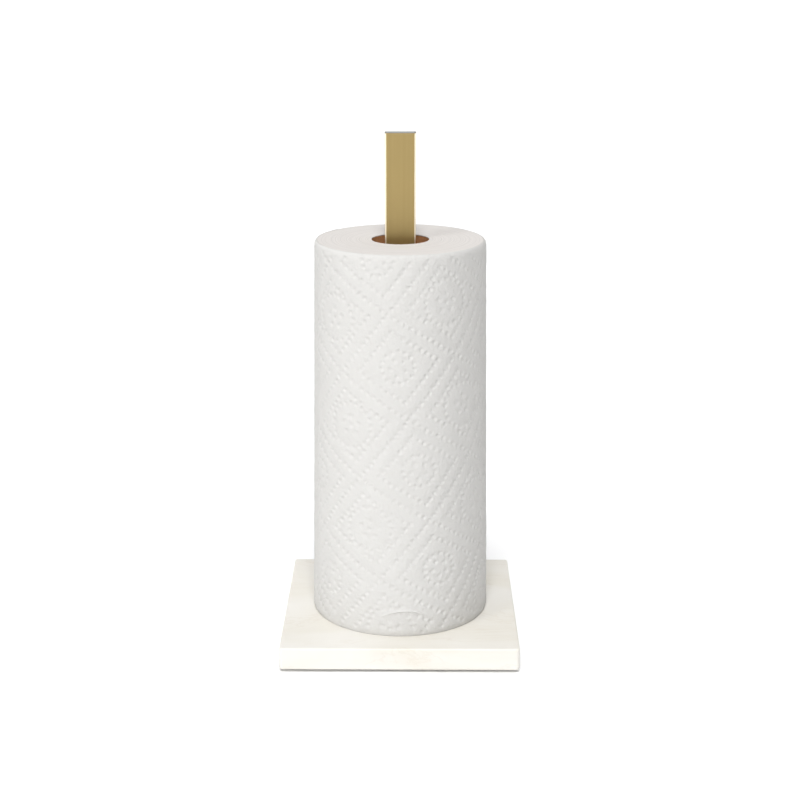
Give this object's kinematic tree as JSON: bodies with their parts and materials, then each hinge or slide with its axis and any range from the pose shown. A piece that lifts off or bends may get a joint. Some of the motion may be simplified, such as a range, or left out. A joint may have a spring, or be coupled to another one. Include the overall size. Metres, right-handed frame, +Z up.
{
  "type": "paper towel holder",
  "caption": "Countertop paper towel holder: square marble slab on rubber feet, flat brushed brass post, and a roll of embossed towel that turns and lifts off.",
  "frame": {"origin": "on the plane of the feet, under the middle of the post", "axes": "+Z up along the post, +X to the right and -Y to the front, where the post's broad face looks"},
  "size_m": [0.172, 0.172, 0.3742],
  "materials": {
    "marble": "polished, warm white with faint veins",
    "brushed_brass": "brushed along the post, satin",
    "bright_steel": "zinc plated",
    "fibre": "vulcanised fibre, dull",
    "pad": "foam tape, dull",
    "foot_rubber": "moulded, dull",
    "core_board": "uncoated brown board, spiral wound",
    "towel_paper": "soft two-ply tissue, embossed with dots"
  },
  "bodies": {
    "holder": {"marble_base": "marble", "post_tube": "brushed_brass", "post_cap": "brushed_brass", "post_plug": "bright_steel", "clamp_screw": "bright_steel", "lock_washer": "bright_steel", "flat_washer": "bright_steel", "soft_washer": "fibre", "socket_gasket": "pad", "foot_front_left": "foot_rubber", "foot_front_right": "foot_rubber", "foot_back_left": "foot_rubber", "foot_back_right": "foot_rubber", "foot_tape_front_left": "pad", "foot_tape_front_right": "pad", "foot_tape_back_left": "pad", "foot_tape_back_right": "pad"},
    "core": {"core_inner_ply": "core_board"},
    "roll": {"core_outer_ply": "core_board", "wound_towel": "towel_paper", "outer_sheet": "towel_paper"}
  },
  "joints": [
    {"name": "roll_lift", "type": "slide", "parent": "holder", "child": "core", "axis": [0, 0, 1], "range_m": [0, 0.36]},
    {"name": "roll_spin", "type": "hinge", "parent": "core", "child": "roll", "pos_m": [0, 0, 0], "axis": [0, 0, 1], "continuous": true}
  ]
}
